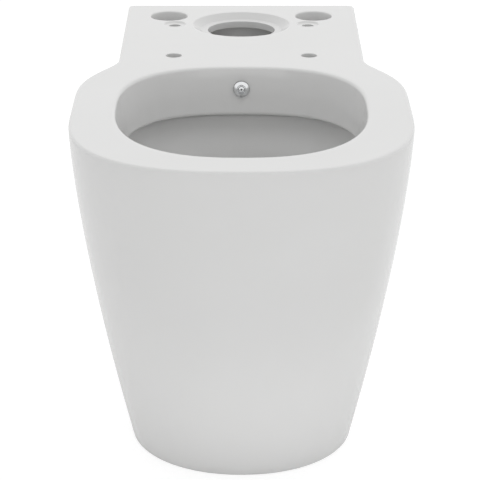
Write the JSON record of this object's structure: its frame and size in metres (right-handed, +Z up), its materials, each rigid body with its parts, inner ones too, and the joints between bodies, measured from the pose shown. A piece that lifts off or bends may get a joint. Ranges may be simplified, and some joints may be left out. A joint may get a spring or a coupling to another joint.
{
  "type": "bidet toilet",
  "caption": "Floor-standing back-to-wall toilet pan for a close-coupled cistern, with a flaring skirt, an open rim and a spray nozzle in the back of the rim.",
  "frame": {"origin": "on the floor, under the middle of the pan's box", "axes": "+Z up, -Y to the front of the bowl, +Y to the wall behind, +X to the right as seen from the front"},
  "size_m": [0.36, 0.665, 0.4],
  "materials": {
    "glaze": "glossy white glaze",
    "chrome": "polished chrome plate",
    "brass": "turned, satin",
    "copper": "drawn copper tube, satin",
    "steel": "plain stainless",
    "rubber": "matt black",
    "nylon": "moulded, off-white",
    "cap_plastic": "gloss white"
  },
  "bodies": {
    "pan": {"rim_deck": "glaze", "pan_skirt": "glaze", "bowl": "glaze", "trapway": "glaze", "flush_duct": "glaze", "nozzle_body": "chrome", "nozzle_gasket": "rubber", "rear_gasket": "rubber", "rear_washer": "steel", "nozzle_locknut": "brass", "tube_olive": "brass", "tube_nut": "brass", "feed_tube": "copper", "inlet_tailpiece": "brass", "inlet_washer": "rubber", "floor_bracket_right": "nylon", "floor_bracket_left": "nylon", "screw_sleeve_right": "nylon", "screw_sleeve_left": "nylon", "side_screw_right": "steel", "side_screw_left": "steel", "cover_cap_right": "cap_plastic", "cover_cap_left": "cap_plastic"},
    "retainer": {"ball_retainer": "chrome"},
    "ball": {"spray_ball": "chrome"},
    "union_nut": {"inlet_union_nut": "chrome"}
  },
  "joints": [
    {"name": "spray_swivel", "type": "hinge", "parent": "pan", "child": "retainer", "pos_m": [0, 0.03998, 0.37581], "axis": [0, -0.9928, 0.12], "continuous": true},
    {"name": "spray_tilt", "type": "hinge", "parent": "retainer", "child": "ball", "pos_m": [0, 0.03998, 0.37581], "axis": [1, 0, 0], "range_deg": [-12, 12]},
    {"name": "union_nut_spin", "type": "hinge", "parent": "pan", "child": "union_nut", "pos_m": [0.074, 0.3165, 0.238], "axis": [0, 1, 0], "continuous": true}
  ]
}
